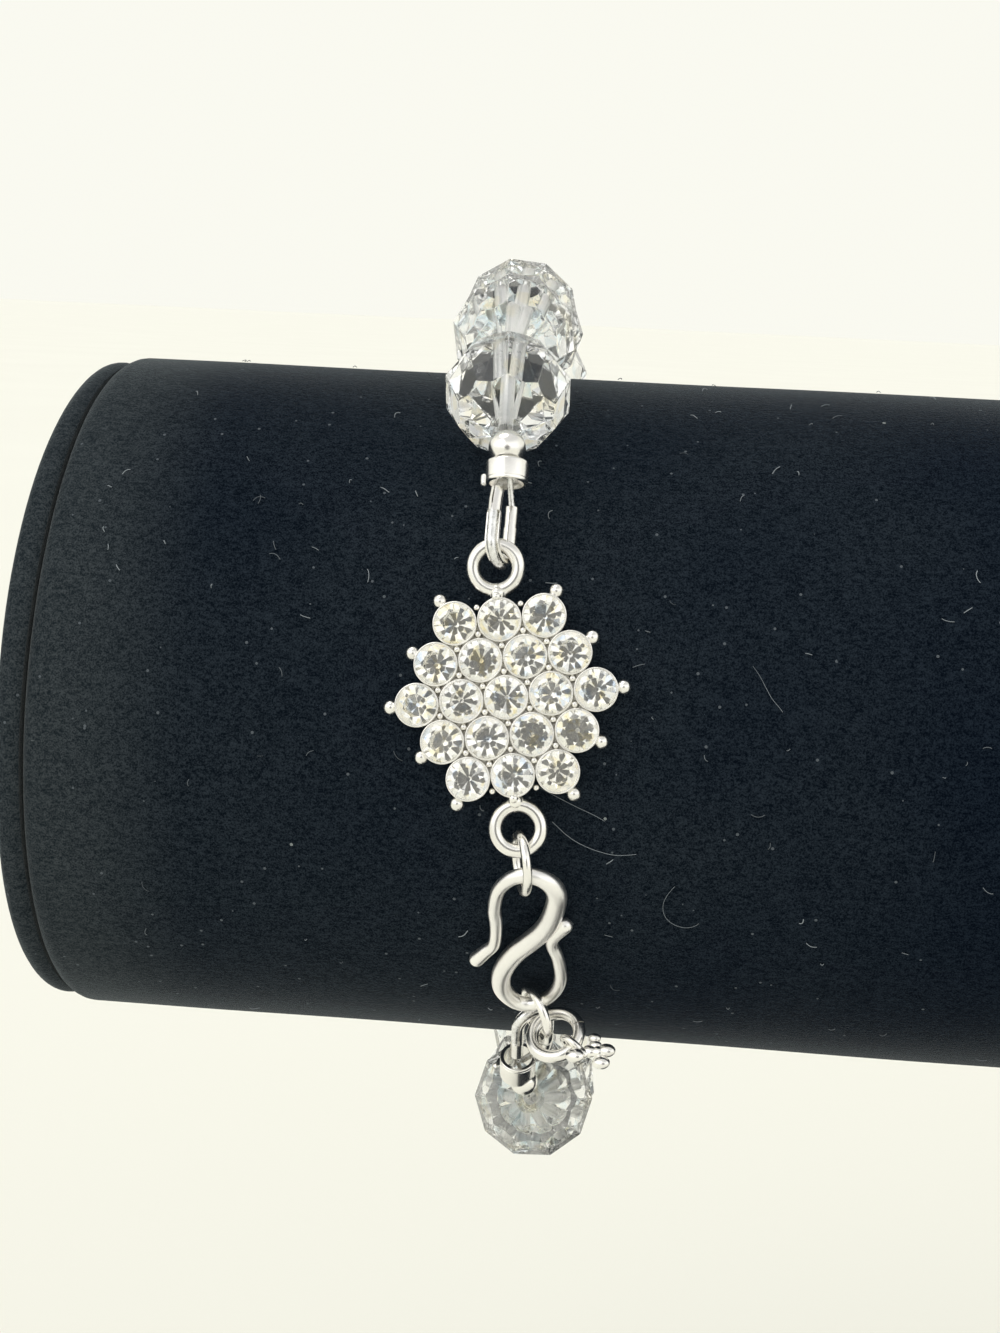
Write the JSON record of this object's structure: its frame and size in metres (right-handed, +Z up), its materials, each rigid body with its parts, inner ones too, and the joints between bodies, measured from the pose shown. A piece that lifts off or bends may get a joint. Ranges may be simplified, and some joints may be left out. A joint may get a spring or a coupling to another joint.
{
  "type": "rhinestone bracelet on a display roll stand",
  "caption": "Strung cut-glass bead bracelet with a hexagonal rhinestone flower and an S hook clasp, held on a velvet display roll stand.",
  "frame": {"origin": "centre of the foot's underside, on the floor", "axes": "+Z up, +X along the roll to the viewer's right, -Y towards the viewer of the flower"},
  "size_m": [0.205, 0.086, 0.1602],
  "materials": {
    "velvet": "black velvet, soft short pile",
    "crystal": "clear polished cut glass",
    "rhinestone": "clear cut glass over a silver foil",
    "bright_silver": "bright silver plate",
    "satin_silver": "satin silver plate",
    "wire": "stranded beading wire"
  },
  "bodies": {
    "root": {"beading_wire": "wire", "charm_ring": "bright_silver", "crimp_tube_bottom": "bright_silver", "crimp_tube_top": "bright_silver", "crystal_bead_01": "crystal", "crystal_bead_02": "crystal", "crystal_bead_03": "crystal", "crystal_bead_04": "crystal", "crystal_bead_05": "crystal", "crystal_bead_06": "crystal", "crystal_bead_07": "crystal", "crystal_bead_08": "crystal", "crystal_bead_09": "crystal", "crystal_bead_10": "crystal", "crystal_bead_11": "crystal", "crystal_bead_12": "crystal", "crystal_bead_13": "crystal", "crystal_bead_14": "crystal", "crystal_bead_15": "crystal", "display_roll": "velvet", "flower_charm": "bright_silver", "flower_setting": "bright_silver", "jump_ring_bottom": "bright_silver", "jump_ring_top": "bright_silver", "rhinestone_01": "rhinestone", "rhinestone_02": "rhinestone", "rhinestone_03": "rhinestone", "rhinestone_04": "rhinestone", "rhinestone_05": "rhinestone", "rhinestone_06": "rhinestone", "rhinestone_07": "rhinestone", "rhinestone_08": "rhinestone", "rhinestone_09": "rhinestone", "rhinestone_10": "rhinestone", "rhinestone_11": "rhinestone", "rhinestone_12": "rhinestone", "rhinestone_13": "rhinestone", "rhinestone_14": "rhinestone", "rhinestone_15": "rhinestone", "rhinestone_16": "rhinestone", "rhinestone_17": "rhinestone", "rhinestone_18": "rhinestone", "rhinestone_19": "rhinestone", "roll_cap_left": "velvet", "roll_cap_right": "velvet", "s_hook": "satin_silver", "spacer_ball_bottom": "bright_silver", "spacer_ball_top": "bright_silver", "stand_base": "velvet", "stand_post": "velvet", "wire_guard_bottom": "bright_silver", "wire_guard_top": "bright_silver"}
  },
  "joints": []
}
